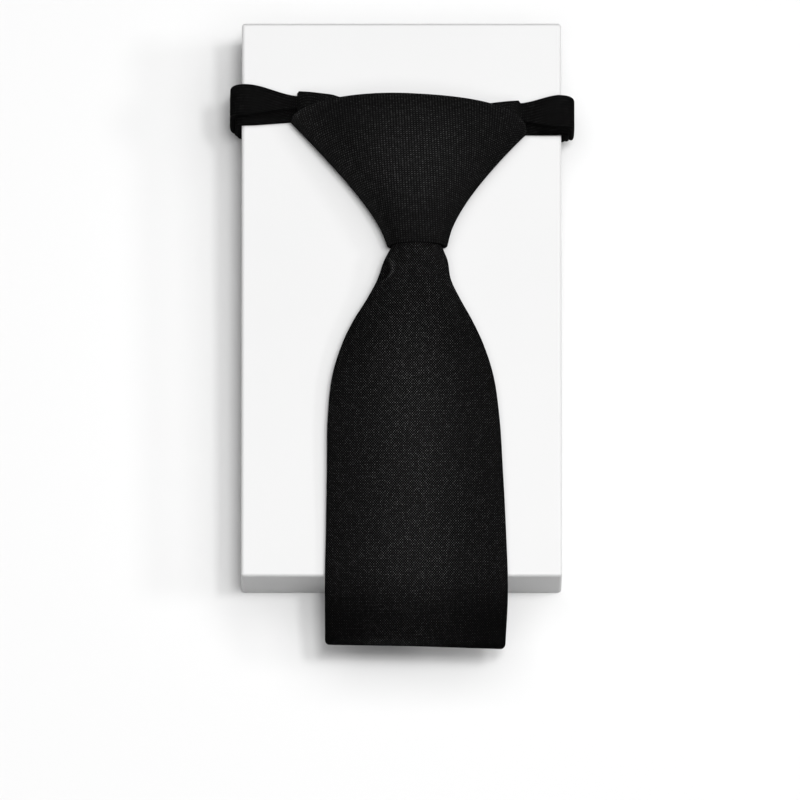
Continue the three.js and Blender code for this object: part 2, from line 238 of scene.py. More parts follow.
lacquer, lacquer_shader, block_place = material(
    "white_satin_lacquer", {"Specular IOR Level": LACQUER_SHINE},
)
peel = block_place.node("ShaderNodeTexNoise", i0=block_place, **LACQUER_PEEL)
clouds = block_place.node("ShaderNodeTexNoise", i0=block_place, **LACQUER_CLOUDS)
sprayed = block_place.node(
    "ShaderNodeMix", {"data_type": "RGBA"}, out=2, i0=clouds, i6=LACQUER_LOW, i7=LACQUER_HIGH,
)
# The end faces' painted shade is mixed into the lacquer's colour.
end_shade_share = block_place.node("ShaderNodeAttribute", {"attribute_name": "painted_end_shade"}, out=2)
tone = block_place.node(
    "ShaderNodeMix", {"data_type": "RGBA"}, out=2, i0=end_shade_share, i6=sprayed, i7=END_SHADE_TONE,
)
roughness = LACQUER_ROUGHNESS + clouds * LACQUER_CLOUDED
peeled = block_place.node("ShaderNodeBump", Height=peel, **PEEL_RELIEF)
lacquer.node_tree.links.new(tone.source, lacquer_shader.inputs["Base Color"])
lacquer.node_tree.links.new(roughness.source, lacquer_shader.inputs["Roughness"])
lacquer.node_tree.links.new(peeled.source, lacquer_shader.inputs["Normal"])
block_mesh.materials.append(lacquer)
hand_over(block, "display_block")


# Neck band: a strip of the tie's own cloth folded double, the upper ply set back from the
# lower one, wrapped once round the block. It is one loop, held shut by the zip in the knot.
BAND_PLY = 0.0016
BAND_SLACK = 0.0005
BAND_ROLL = 3.0
# Where its edges run, leg by leg round the block from under the knot to the left, in band
# widths from its middle. Slack lifts it off the block, pressed thins its plies, and rolled
# turns the upper ply's fold back over itself.
BAND_EDGES = [
    {"around": 0, "low": -0.36, "fold": -0.16, "top": 0.12, "slack": 0, "pressed": 0, "rolled": 0},
    {"around": 0.7, "low": -0.38, "fold": -0.09, "top": 0.255, "slack": 0, "pressed": 0, "rolled": 0},
    {"around": 1, "low": -0.45, "fold": -0.24, "top": 0.54, "slack": 0, "pressed": 0, "rolled": 0.3},
    {"around": 1.5, "low": -0.45, "fold": -0.36, "top": 0.5, "slack": 0.4, "pressed": 0, "rolled": 1},
    {"around": 2, "low": -0.31, "fold": -0.25, "top": 0.46, "slack": 0, "pressed": 1, "rolled": 1},
    {"around": 3, "low": -0.39, "fold": -0.3, "top": 0.27, "slack": 0, "pressed": 1, "rolled": 1},
    {"around": 3.5, "low": -0.6, "fold": -0.56, "top": 0.27, "slack": 1, "pressed": 0, "rolled": 1},
    {"around": 4, "low": -0.7, "fold": -0.54, "top": 0.265, "slack": 1, "pressed": 0, "rolled": 0.3},
    {"around": 4.27, "low": -0.68, "fold": -0.38, "top": 0.07, "slack": 0, "pressed": 0, "rolled": 0},
    {"around": 5, "low": -0.36, "fold": -0.16, "top": 0.12, "slack": 0, "pressed": 0, "rolled": 0},
]
BAND_EDGE_PARTS = {"low": 12, "fold": 12, "top": 18}
BAND_CORNER_PARTS = 14
# Painted light and shade on the band's cloth: one level along it and a darker one in the hollow.
BAND_PAINTED_LIGHT = 0.41
BAND_HOLLOW_PAINTED_SHADE = 0.14
BAND_HOLLOW_FROM = (3.2, 3.9)
BAND_HOLLOW_TO = (4.1, 4.2)
TIE_AXIS = 0.0048
KNOT_LEAN = 0.0026
KNOT_TOP_AXIS = TIE_AXIS - KNOT_LEAN


def read(table, key, name, at):
    """One column of a table, read smoothly at places between its rows."""
    keys = np.array([row[key] for row in table], float)
    values = np.array([row[name] for row in table], float)
    at = np.clip(np.asarray(at, float), keys[0], keys[-1])
    slopes = np.diff(values) / np.diff(keys)
    inner = np.where(slopes[1:] * slopes[:-1] > 0, (slopes[1:] + slopes[:-1]) / 2, 0)
    ease = np.concatenate([[slopes[0]], inner, [slopes[-1]]])
    row = np.clip(np.searchsorted(keys, at, side="right") - 1, 0, len(keys) - 2)
    span = keys[row + 1] - keys[row]
    u = (at - keys[row]) / span
    v = 1 - u
    return (values[row] * v * v * (1 + 2 * u) + values[row + 1] * u * u * (1 + 2 * v)
            + span * u * v * (ease[row] * v - ease[row + 1] * u))


def mix(a, b, share):
    return a + (b - a) * share


def smooth(value, low, high):
    share = np.clip((value - low) / (high - low), 0, 1)
    return share * share * (3 - 2 * share)


def face_outwards(mesh):
    """Turns the faces of a closed mesh round where they point inwards."""
    solid = bmesh.new()
    solid.from_mesh(mesh)
    if solid.calc_volume(signed=True) < 0:
        bmesh.ops.reverse_faces(solid, faces=solid.faces)
    solid.to_mesh(mesh)
    solid.free()


def skin(name, rings, weave, closed, start, painted_light):
    """A mesh over rings of points. Its UV map counts threads from place start; painted_light is the painted
    light and shade on its colour.
    """
    rings = np.asarray(rings, float)
    count, around = rings.shape[:2]
    painted_light = np.broadcast_to(np.asarray(painted_light, float), (count, around)).ravel()
    looped = np.concatenate([rings, rings[:, :1]], axis=1)
    steps = np.linalg.norm(np.diff(looped, axis=1), axis=2)
    across = np.concatenate([np.zeros((count, 1)), np.cumsum(steps, axis=1)], axis=1)
    across -= across[:, start:start + 1]
    line = np.concatenate([rings, rings[:1]])[:, start]
    along = np.concatenate([[0], np.cumsum(np.linalg.norm(np.diff(line, axis=0), axis=1))])
    across = np.concatenate([across, across[:1]])
    along = np.repeat(along[:, None], around + 1, axis=1)
    threads = np.stack([across / weave[0], along / weave[1]], axis=2)
    points = rings.reshape(-1, 3)
    last = count if closed else count - 1
    ring_at, place_at = np.meshgrid(np.arange(last), np.arange(around), indexing="ij")
    corners = [
        (ring_at, place_at), (ring_at, place_at + 1),
        (ring_at + 1, place_at + 1), (ring_at + 1, place_at),
    ]
    quads = np.stack([(r % count) * around + p % around for r, p in corners], axis=-1).reshape(-1, 4)
    maps = np.stack([threads[r, p] for r, p in corners], axis=2).reshape(-1, 2)
    faces = quads.tolist()
    if not closed:
        for ring, order in ((0, 1), (count - 1, -1)):
            hub = len(points)
            points = np.concatenate([points, rings[ring].mean(axis=0)[None]])
            painted_light = np.append(painted_light, painted_light[ring * around])
            middle = threads[ring, :-1].mean(axis=0)
            for place in range(around)[::order]:
                nearby = (place + order) % around
                faces.append([hub, ring * around + nearby, ring * around + place])
                maps = np.concatenate([maps, [middle, threads[ring, nearby], threads[ring, place]]])
    turned = LAID.to_3x3()
    points = points @ np.array(turned).T + np.array(LAID.translation)
    mesh = bpy.data.meshes.new(name)
    mesh.from_pydata(points.tolist(), [], faces)
    layer = mesh.uv_layers.new(name="threads")
    layer.data.foreach_set("uv", maps.astype(np.float32).ravel())
    # Painted light and shade: a brightness for the cloth's colour at each point.
    mesh.attributes.new("painted_light", "FLOAT", "POINT").data.foreach_set("value", painted_light.astype(np.float32))
    face_outwards(mesh)
    mesh.polygons.foreach_set("use_smooth", [True] * len(mesh.polygons))
    made = bpy.data.objects.new(name, mesh)
    bpy.context.scene.collection.objects.link(made)
    return made


# The cloth is spun yarn dyed black. It is matt, with a trace of fuzz at grazing light. Its colour
# carries painted highlights on the thread tops, painted shade between the threads, where nearly
# no light comes back, and painted glints where here and there one catches the light.
CLOTH_SURFACE = {
    "Roughness": 0.8, "Specular IOR Level": 0.0, "Sheen Weight": 0.012, "Sheen Roughness": 0.3,
}
SHADE_BETWEEN_THREADS = (0.0003, 0.0003, 0.0003, 1)
THREAD_ROUND = 0.7
GLINT_RARITY = 3
CLOTH_MOTTLE = {"Scale": 180.0, "Detail": 3.0}
MOTTLE_RELIEF = {"Strength": 0.3, "Distance": 0.0002}
THREAD_RELIEF = {"Strength": 0.35, "Distance": 0.0001}


def woven_cloth(name, yarn, weft_share, crispness, painted_glint_spread):
    """Plain weave on the bias. Each thread is round and dips under every other one it meets."""
    made, shader, place = material(name, CLOTH_SURFACE)
    tree = made.node_tree
    mapped = tree.nodes.new("ShaderNodeUVMap")
    mapped.uv_map = "threads"
    pair = tree.nodes.new("ShaderNodeSeparateXYZ")
    tree.links.new(mapped.outputs[0], pair.inputs[0])
    u, v = Socket(tree, pair.outputs[0]), Socket(tree, pair.outputs[1])
    warp, weft = u + v, u - v
    warp_row, weft_row = warp.maths("FLOOR"), weft.maths("FLOOR")
    warp_body = (warp.maths("FRACT") * math.pi).maths("SINE") ** THREAD_ROUND
    weft_body = (weft.maths("FRACT") * math.pi).maths("SINE") ** THREAD_ROUND
    warp_lift = ((weft + warp_row) * math.pi).maths("SINE")
    weft_lift = ((warp + weft_row) * math.pi).maths("SINE")
    warp_top = warp_body * (0.5 + warp_lift * 0.5)
    weft_top = weft_body * (0.5 - weft_lift * 0.5)
    relief = warp_top.maths("MAXIMUM", weft_top)
    crossing = place.node("ShaderNodeCombineXYZ", X=warp_row, Y=weft_row)
    chance = place.node("ShaderNodeTexWhiteNoise", {"noise_dimensions": "2D"}, Vector=crossing)
    mottle = place.node("ShaderNodeTexNoise", i0=place, **CLOTH_MOTTLE)
    painted_light_level = place.node("ShaderNodeAttribute", {"attribute_name": "painted_light"}, out=2)
    # Painted highlights on the thread tops and painted glints, scaled by the piece's painted light and
    # shade.
    lit_tops = warp_top ** crispness + weft_top ** crispness * weft_share
    glint = 1 - painted_glint_spread + chance ** GLINT_RARITY * ((GLINT_RARITY + 1) * painted_glint_spread)
    shade = lit_tops * glint * painted_light_level
    tint = place.node(
        "ShaderNodeMix", {"data_type": "RGBA", "clamp_factor": False}, out=2,
        i0=shade, i6=SHADE_BETWEEN_THREADS, i7=(yarn, yarn, yarn, 1),
    )
    tree.links.new(tint.source, shader.inputs["Base Color"])
    soft = place.node("ShaderNodeBump", Height=mottle, **MOTTLE_RELIEF)
    bump = place.node("ShaderNodeBump", Height=relief, Normal=soft, **THREAD_RELIEF)
    tree.links.new(bump.source, shader.inputs["Normal"])
    return made


# On the turned cloth of the band and the knot the weft's painted highlight is much duller than
# the warp's, which shows as fine ribs. The weave's repeat is given across and along.
KNOT_WEAVE = (0.00086, 0.00064)
ribbed_cloth = woven_cloth(
    "black_plain_weave_turned", yarn=0.033, weft_share=0.3, crispness=2.0, painted_glint_spread=0.22,
)


def band_path():
    """Stations round the block: the leg, the inner side's place and the way that it faces."""
    x = BLOCK_WIDTH / 2 - BLOCK_EDGE
    top, bottom = -BLOCK_EDGE, BLOCK_EDGE - BLOCK_THICKNESS
    legs = [
        {"start": (KNOT_TOP_AXIS, top), "end": (-x, top), "facing": 90, "parts": 60},
        {"start": (-x, top), "end": (-x, bottom), "facing": 180, "parts": 20},
        {"start": (-x, bottom), "end": (x, bottom), "facing": 270, "parts": 50},
        {"start": (x, bottom), "end": (x, top), "facing": 360, "parts": 20},
        {"start": (x, top), "end": (KNOT_TOP_AXIS, top), "facing": 450, "parts": 54},
    ]
    stations = []
    for number, leg in enumerate(legs):
        start, end, parts = leg["start"], leg["end"], leg["parts"]
        for part in range(parts + 1):
            share = part / parts
            place = mix(start[0], end[0], share), mix(start[1], end[1], share)
            stations.append((number + share, *place, leg["facing"]))
        if number == len(legs) - 1:
            break
        for part in range(1, BAND_CORNER_PARTS):
            stations.append((number + 1, *end, leg["facing"] + 90 * part / BAND_CORNER_PARTS))
    return np.array(stations[:-1])


def arc(edge, middle, reach, start, end):
    """Points of the band's outline round one of its edges, in plies: how far in and how far up."""
    turns = np.radians(np.linspace(start, end, BAND_EDGE_PARTS[edge]))
    return [(edge, middle[0] + reach[0] * math.cos(t), middle[1] + reach[1] * math.sin(t)) for t in turns]


band_outline = (
    arc("low", middle=(0.25, 0.5), reach=(0.25, 0.5), start=270, end=90)
    + arc("fold", middle=(0.25, 1.5), reach=(0.25, 0.5), start=240, end=90)
    + arc("top", middle=(-0.9, 1), reach=(0.9, 1), start=90, end=-90)
)
top_starts = BAND_EDGE_PARTS["low"] + BAND_EDGE_PARTS["fold"]
around, band_x, band_z, facing = band_path().T
ply = mix(BAND_PLY, BAND_PRESSED_PLY, read(BAND_EDGES, "around", "pressed", around))
band_inner = BLOCK_EDGE + CLEARANCE + BAND_SLACK * read(BAND_EDGES, "around", "slack", around)
band_roll = 1 + BAND_ROLL * read(BAND_EDGES, "around", "rolled", around)
band_rings = []
for edge, inset, height in band_outline:
    out = band_inner + height * ply
    rolled = band_roll if edge == "fold" else 1
    band_rings.append(np.stack([
        band_x + out * np.cos(np.radians(facing)),
        BAND_MIDDLE + BAND_WIDTH * read(BAND_EDGES, "around", edge, around) + inset * rolled * ply,
        band_z + out * np.sin(np.radians(facing)),
    ], axis=1))
band_rings = np.stack(band_rings, axis=1)

# Between the plies, round the block's right side, the lower ply lies in the fold's painted shade.
in_hollow = smooth(around, *BAND_HOLLOW_FROM) * (1 - smooth(around, *BAND_HOLLOW_TO))
band_painted_light = np.full(band_rings.shape[:2], BAND_PAINTED_LIGHT)
band_painted_light[:, :BAND_EDGE_PARTS["low"]] = mix(BAND_PAINTED_LIGHT, BAND_HOLLOW_PAINTED_SHADE, in_hollow)[:, None]
band = skin("band", band_rings, KNOT_WEAVE, closed=True, start=top_starts, painted_light=band_painted_light)
band.data.materials.append(ribbed_cloth)
hand_over(band, "neck_band")


# Outer wrap of the knot: one turn of interlined cloth drawn over the inner wrap, narrow at
# the mouth and wide at its rim. It is an open sleeve whose two ends are rolled inwards.
KNOT_FROM_HEAD = 0.0255
KNOT_LENGTH = 0.0453
KNOT_CROWN_RISE = 0.0077
KNOT_TOP_WIDTH = 0.0711
KNOT_MOUTH_WIDTH = 0.0172
KNOT_HEIGHT = 0.018
KNOT_SIDE_HEIGHT = 0.005
KNOT_WALL = 0.0011
KNOT_SLANT_WALL = 0.0004
KNOT_SLOPE = 0.0017
KNOT_BACK_CUT = 0.003
KNOT_ROUND = {"left": 1.85, "right": 2.75}
KNOT_RIM_BEND = 1.6
DOME_ROUND = {"across": 2.2, "edge": 0.6}
BACK_ROUND = {"across": 4, "edge": 0.5}
KNOT_TOP = HEAD_END - KNOT_FROM_HEAD
KNOT_MOUTH = KNOT_TOP - KNOT_LENGTH
KNOT_LIP = 0.028
KNOT_SIDE_LENGTH = KNOT_LENGTH - KNOT_CROWN_RISE
KNOT_PARTS = {"round": 240, "outside": 110, "roll": 10, "inside": 40}
KNOT_SECTIONS = [
    {"along": 0, "spread": 0.01, "height": 0.69, "side": 1, "slant": 0},
    {"along": 0.16, "spread": 0.084, "height": 0.77, "side": 1, "slant": 0.25},
    {"along": 0.32, "spread": 0.208, "height": 0.87, "side": 1, "slant": 0.7},
    {"along": 0.5, "spread": 0.388, "height": 0.95, "side": 1, "slant": 1},
    {"along": 0.72, "spread": 0.645, "height": 1, "side": 1, "slant": 1},
    {"along": 0.9, "spread": 0.87, "height": 0.97, "side": 0.88, "slant": 1},
    {"along": 1, "spread": 1, "height": 0.79, "side": 0.78, "slant": 1},
]
# The wrap's front carries a painted highlight in its middle and painted shade round that.
# Painted light comes up again on the rim's fold, towards both wings, and along the knot's left edge.
KNOT_PAINTED_HIGHLIGHT = {"x": 0.0035, "y": 0.0400, "width": 0.018, "height": 0.017, "rest": 0.62, "full": 1.15}
KNOT_RIM_PAINTED_LIGHT = 0.8
KNOT_RIM_FROM = (0.97, 0.99)
KNOT_RIM_SIDES = (0.45, 0.75)
KNOT_LEFT_PAINTED_LIGHT = 0.7
KNOT_LEFT_FROM = (0.7, 1)


def dome_share(across):
    return np.clip(1 - np.abs(across) ** DOME_ROUND["across"], 0, 1) ** DOME_ROUND["edge"]


def back_share(across):
    return np.clip(1 - np.abs(across) ** BACK_ROUND["across"], 0, 1) ** BACK_ROUND["edge"]


def rim_share(across):
    bend = np.where(across < 0, KNOT_ROUND["left"], KNOT_ROUND["right"])
    return np.clip(1 - np.abs(across) ** bend, 0, 1) ** (1 / bend)


def knot_point(along, angle, inset):
    """A point of the wrap, inset from its outer side, from the right tip over the front."""
    along, angle, inset = np.broadcast_arrays(*(np.asarray(x, float) for x in (along, angle, inset)))
    across = np.cos(angle)
    front = np.sin(angle) >= 0
    half = mix(KNOT_MOUTH_WIDTH, KNOT_TOP_WIDTH, read(KNOT_SECTIONS, "along", "spread", along)) / 2 - inset
    crown = KNOT_HEIGHT * read(KNOT_SECTIONS, "along", "height", along) - inset
    side = KNOT_SIDE_HEIGHT * read(KNOT_SECTIONS, "along", "side", along)
    rise = KNOT_CROWN_RISE * along ** KNOT_RIM_BEND * rim_share(across)
    drop = KNOT_BACK_CUT * along ** 2 * back_share(across)
    level = KNOT_MOUTH + KNOT_SIDE_LENGTH * along - KNOT_SLOPE * along ** 2 * across
    over = mix(side, crown, dome_share(across))
    under = mix(side, CLEARANCE + inset, back_share(across))
    return np.stack([
        mix(TIE_AXIS, KNOT_TOP_AXIS, along) + half * across,
        level + np.where(front, rise, -drop),
        np.where(front, over, under),
    ], axis=-1)


def knot_inset(along):
    return KNOT_WALL + KNOT_SLANT_WALL * read(KNOT_SECTIONS, "along", "slant", along)


knot_angles = np.linspace(0, 2 * math.pi, KNOT_PARTS["round"], endpoint=False)
knot_alongs = list(np.linspace(KNOT_LIP, 1, KNOT_PARTS["outside"]))
knot_rings = [knot_point(along, knot_angles, 0) for along in knot_alongs]
for end, way in ((1, 1), (KNOT_LIP, -1)):
    wall = float(knot_inset(end))
    for roll in np.radians(np.linspace(0, 180, KNOT_PARTS["roll"])[1:-1]):
        ring = knot_point(end, knot_angles, wall / 2 * (1 - math.cos(roll)))
        ring[:, 1] += way * wall / 2 * math.sin(roll)
        knot_alongs.append(end)
        knot_rings.append(ring)
    if end == 1:
        inner_alongs = np.linspace(1, KNOT_LIP, KNOT_PARTS["inside"])
        knot_alongs += list(inner_alongs)
        knot_rings += [knot_point(along, knot_angles, knot_inset(along)) for along in inner_alongs]
knot_rings = np.array(knot_rings)
# Painted highlight in the middle of the wrap's front, painted light on the rim's fold and the left edge.
highlight_reach = np.hypot(
    (knot_rings[:, :, 0] - KNOT_PAINTED_HIGHLIGHT["x"]) / KNOT_PAINTED_HIGHLIGHT["width"],
    (knot_rings[:, :, 1] - KNOT_PAINTED_HIGHLIGHT["y"]) / KNOT_PAINTED_HIGHLIGHT["height"],
)
to_right = np.cos(knot_angles)
on_rim = smooth(np.array(knot_alongs), *KNOT_RIM_FROM)[:, None] * smooth(np.abs(to_right), *KNOT_RIM_SIDES)
at_left = smooth(-to_right, *KNOT_LEFT_FROM)
knot_painted_light = mix(KNOT_PAINTED_HIGHLIGHT["rest"], KNOT_PAINTED_HIGHLIGHT["full"], np.exp(-highlight_reach ** 2))
knot_painted_light = mix(knot_painted_light, KNOT_RIM_PAINTED_LIGHT, on_rim) * (1 + KNOT_LEFT_PAINTED_LIGHT * at_left)
knot_ridge = KNOT_PARTS["round"] // 4
outer_wrap = skin("outer_wrap", knot_rings, KNOT_WEAVE, closed=True, start=knot_ridge, painted_light=knot_painted_light)
outer_wrap.data.materials.append(ribbed_cloth)
hand_over(outer_wrap, "knot_face")


# Inner wrap of the knot: a doubled strip rolled round the band and the zip's neck, under
# the outer wrap. Its two ends stand out above the knot's upper corners as short wings.
WING_DEPTH = 0.011
WING_TUCK = 0.0015
WING_DROP = 0.00039
WING_SLOPE = 0.00144
WING_FLARE = 0.006
WING_TIP_ANGLE = 0.06
WING_CORNER = 0.0007
WING_CORNER_FROM = 0.98
# One even level of painted light and shade on the inner wrap's cloth.
WING_PAINTED_LIGHT = 0.62
TAIL_THICKNESS = 0.003
TAIL_BASE = CLEARANCE + KNOT_WALL + KNOT_SLANT_WALL + CLEARANCE
WRAP_PARTS = {"round": 48, "along": 150}
WRAP_BOXINESS = 0.5
# Between these shares of the way out to its ends, the strip comes down off the tail onto
# the band. The table gives how far it stands out of the sleeve and how far it is shut there.
WRAP_ON_BAND = (0.26, 0.42)
WRAP_SECTIONS = [
    {"side": 0, "out": 0, "rise": -0.6, "closed": 0},
    {"side": 0.3, "out": 0, "rise": -0.3, "closed": 0},
    {"side": 0.6, "out": 0.84, "rise": 0, "closed": 0},
    {"side": 0.7, "out": 1, "rise": 0.1, "closed": 0.2},
    {"side": 0.95, "out": 1, "rise": 0.35, "closed": 1},
    {"side": 1, "out": 1, "rise": 0.4, "closed": 1},
]


def boxy_share(wave):
    """From 0 to 1 as a wave swings from -1 to 1, with the corners of a soft box between."""
    return 0.5 + 0.5 * (np.sign(wave) * np.abs(wave) ** WRAP_BOXINESS)


wrap_turns = np.linspace(0, 2 * math.pi, WRAP_PARTS["round"], endpoint=False)
wrap_rings = []
for angle in np.linspace(math.pi - WING_TIP_ANGLE, WING_TIP_ANGLE, WRAP_PARTS["along"]):
    lean = math.cos(angle)
    side = {key: read(WRAP_SECTIONS, "side", key, abs(lean)) for key in WRAP_SECTIONS[0]}
    out, shut, on_band = side["out"], side["closed"], smooth(abs(lean), *WRAP_ON_BAND)
    rim = knot_point(1, angle, float(knot_inset(1)) + CLEARANCE)
    wing = KNOT_TOP - WING_DROP - WING_SLOPE * np.sign(lean) + WING_FLARE * side["rise"]
    top = mix(rim[1] - WING_TUCK, wing, out) - WING_CORNER * smooth(abs(lean), WING_CORNER_FROM, 1)
    low = mix(top - WING_DEPTH, rim[1] + CLEARANCE, shut)
    under = mix(TAIL_BASE + TAIL_THICKNESS + CLEARANCE, 2 * CLEARANCE + 2 * BAND_PLY, on_band)
    wrap_rings.append(np.stack([
        np.full(len(wrap_turns), rim[0]),
        mix(low, top, boxy_share(np.cos(wrap_turns))),
        mix(under, rim[2], boxy_share(np.sin(wrap_turns))),
    ], axis=-1))
wrap_ridge = WRAP_PARTS["round"] // 4
inner_wrap = skin("inner_wrap", wrap_rings, KNOT_WEAVE, closed=False, start=wrap_ridge, painted_light=WING_PAINTED_LIGHT)
inner_wrap.data.materials.append(ribbed_cloth)
hand_over(inner_wrap, "knot_back")


# Blade: the tie's front, a flat tube of bias-cut cloth over its interlining, pressed at its
# folded edges and square at its end. It is gathered at the mouth, with a dimple at its left.
BLADE_LENGTH = 0.12075
BLADE_WIDTH = 0.055
BLADE_THICKNESS = 0.003
BLADE_ROOT = 0.011
BLADE_CROWN = 0.0019
BLADE_DROOP = 0.0046
BLADE_CORNER = 0.0014
BLADE_END_SLANT = 0.0006
BLADE_ROUND = {"edge": 8, "arch": 2.2, "droop": 1.5}
BLADE_WEAVE = (0.00073, 0.00082)
BLADE_IN_KNOT = [-BLADE_ROOT / BLADE_LENGTH, -0.05, -0.01]
BLADE_GATHERED_TO = 0.14
BLADE_PARTS = {"across": 110, "gathered": 110, "flat": 150, "hem": 14}
BLADE_SECTIONS = [
    {"along": -0.1, "spread": 0.25, "shift": 0, "mouth": 1, "lift": 1},
    {"along": -0.01, "spread": 0.256, "shift": -0.004, "mouth": 1, "lift": 1},
    {"along": 0, "spread": 0.282, "shift": -0.004, "mouth": 1, "lift": 1},
    {"along": 0.014, "spread": 0.313, "shift": -0.006, "mouth": 0.97, "lift": 1},
    {"along": 0.03, "spread": 0.345, "shift": -0.008, "mouth": 0.92, "lift": 1},
    {"along": 0.08, "spread": 0.404, "shift": -0.018, "mouth": 0.78, "lift": 1},
    {"along": 0.13, "spread": 0.515, "shift": -0.021, "mouth": 0.62, "lift": 1},
    {"along": 0.18, "spread": 0.645, "shift": -0.025, "mouth": 0.46, "lift": 1},
    {"along": 0.24, "spread": 0.77, "shift": -0.026, "mouth": 0.3, "lift": 1},
    {"along": 0.32, "spread": 0.88, "shift": -0.025, "mouth": 0.14, "lift": 1},
    {"along": 0.43, "spread": 0.94, "shift": -0.021, "mouth": 0.03, "lift": 1},
    {"along": 0.56, "spread": 0.962, "shift": -0.014, "mouth": 0, "lift": 0.9},
    {"along": 0.72, "spread": 0.985, "shift": -0.008, "mouth": 0, "lift": 0.4},
    {"along": 0.86, "spread": 1, "shift": -0.006, "mouth": 0, "lift": 0.1},
    {"along": 1, "spread": 0.984, "shift": -0.013, "mouth": 0, "lift": 0.1},
]
# The dimple's crest: how far left of the blade's axis it runs at each distance from the mouth.
DIMPLE_CREST = [
    {"down": 0.0030, "left": 0.0095},
    {"down": 0.0040, "left": 0.0086},
    {"down": 0.0054, "left": 0.0081},
    {"down": 0.0071, "left": 0.0078},
    {"down": 0.0087, "left": 0.0082},
    {"down": 0.0100, "left": 0.0096},
    {"down": 0.0115, "left": 0.0114},
]
DIMPLE_FROM = (0.0026, 0.0042)
DIMPLE_TO = (0.0088, 0.0120)
DIMPLE_WIDTH = 0.0011
DIMPLE_DEPTH_SHARE = 0.72
# Painted highlight on the dimple's crest and painted shade in its hollow.
DIMPLE_PAINTED_LIGHT = {"crest": 1.3, "hollow": 0.35}
CREST_HEIGHT = 0.0004
CREST_WIDTH = 0.0007
CREST_BESIDE = 0.0002
GATHERS = [
    {"off": -0.0060, "depth": 0.00035, "width": 0.0006, "length": 0.006},
    {"off": 0.0038, "depth": 0.0002, "width": 0.0006, "length": 0.007},
    {"off": 0.0066, "depth": 0.00025, "width": 0.0007, "length": 0.005},
]
# The blade carries a painted highlight down its middle. Painted shade darkens it in the gathers
# under the knot, where the end hangs past the block, and at the folded edges below the gathers.
# At the hem a painted highlight comes up again, left of the middle. Each pair is the stretch, as
# shares of the blade's length, over which that comes in.
BLADE_PAINTED_LIGHT = {"edge": 0.58, "middle": 1.27, "reach": 0.55, "gathered": 0.62, "overhang": 0.42, "hem": 0.9}
BLADE_OPENED = (0.05, 0.32)
BLADE_OVER = (0.80, 0.94)
BLADE_EDGE_SHADE_SPAN = (0.04, 0.24)
BLADE_HEM = (0.983, 0.992)
HEM_PAINTED_LIGHT = {"left": 0.4, "reach": 0.4}


def edge_share(across):
    return np.sqrt(np.clip(1 - np.abs(across) ** BLADE_ROUND["edge"], 0, 1))


def dimple_at(x, y):
    """How deep a place lies in the dimple's hollow and how high on its crest, as shares."""
    down = KNOT_MOUTH - y
    beside = TIE_AXIS - read(DIMPLE_CREST, "down", "left", down) - x
    near = smooth(down, *DIMPLE_FROM) * (1 - smooth(down, *DIMPLE_TO))
    hollow = near * smooth(beside, 0, DIMPLE_WIDTH)
    return hollow, near * np.exp(-((beside + CREST_BESIDE) / CREST_WIDTH) ** 2)


def blade_rows(along, across, pinch, end):
    """The blade's front and back, row by row. Pinch narrows it and end thins it at its hem."""
    along, across, pinch, end = np.broadcast_arrays(along, across, pinch, end)
    value = {key: read(BLADE_SECTIONS, "along", key, along) for key in ("spread", "shift", "mouth", "lift")}
    half = BLADE_WIDTH / 2 * value["spread"] - pinch
    y = KNOT_MOUTH - BLADE_LENGTH * along
    past = np.maximum(0, FOOT_END + BLADE_CORNER - y) / (BLADE_LENGTH - (KNOT_MOUTH - FOOT_END))
    ride = (TAIL_THICKNESS + CLEARANCE - BLADE_CROWN) * value["lift"]
    level = CLEARANCE + BLADE_THICKNESS / 2 + ride - BLADE_DROOP * past ** BLADE_ROUND["droop"]
    arch = BLADE_CROWN * (1 - np.abs(across) ** BLADE_ROUND["arch"])
    thick = BLADE_THICKNESS / 2 * edge_share(across) * end
    crown = KNOT_HEIGHT * KNOT_SECTIONS[0]["height"] - KNOT_WALL - CLEARANCE
    edge = TAIL_BASE + TAIL_THICKNESS + 2 * CLEARANCE
    front = mix(level + arch + thick, mix(edge, crown, dome_share(across)), value["mouth"])
    back = mix(level + arch - thick, edge - CLEARANCE * edge_share(across), value["mouth"])
    x = TIE_AXIS + BLADE_WIDTH * value["shift"] + half * across
    hollow, crest = dimple_at(x, y)
    front = mix(front, back, DIMPLE_DEPTH_SHARE * hollow) + CREST_HEIGHT * crest
    off, down = x - TIE_AXIS, KNOT_MOUTH - y
    for fold in GATHERS:
        fade = np.exp(-np.maximum(down, 0) / fold["length"])
        front = front - fold["depth"] * fade * np.exp(-((off - fold["off"]) / fold["width"]) ** 2)
    y = y - BLADE_END_SLANT * across * past
    return np.stack([x, y, front], axis=-1), np.stack([x, y, back], axis=-1)


rows = BLADE_IN_KNOT + list(np.linspace(0, BLADE_GATHERED_TO, BLADE_PARTS["gathered"]))
rows += list(np.linspace(BLADE_GATHERED_TO, 1 - BLADE_CORNER / BLADE_LENGTH, BLADE_PARTS["flat"]))[1:]
bends = np.radians(np.linspace(0, 90, BLADE_PARTS["hem"]))[1:]
pinches = np.array([0.0] * len(rows) + [BLADE_CORNER * (1 - math.cos(bend)) for bend in bends])
rows = np.array(rows + [1 - BLADE_CORNER * (1 - math.sin(bend)) / BLADE_LENGTH for bend in bends])
to_end = np.clip((1 - rows) * BLADE_LENGTH / BLADE_CORNER, 0, 1)
hem = np.sqrt(to_end * (2 - to_end))
places = -np.cos(math.pi * np.arange(BLADE_PARTS["across"] + 1) / BLADE_PARTS["across"])
front, back = blade_rows(rows[:, None], places[None, :], pinches[:, None], hem[:, None])
blade_rings = np.concatenate([front[:, :-1], back[:, :0:-1]], axis=1)
around_places = np.concatenate([places[:-1], places[:0:-1]])
hollow, crest = dimple_at(blade_rings[:, :, 0], blade_rings[:, :, 1])
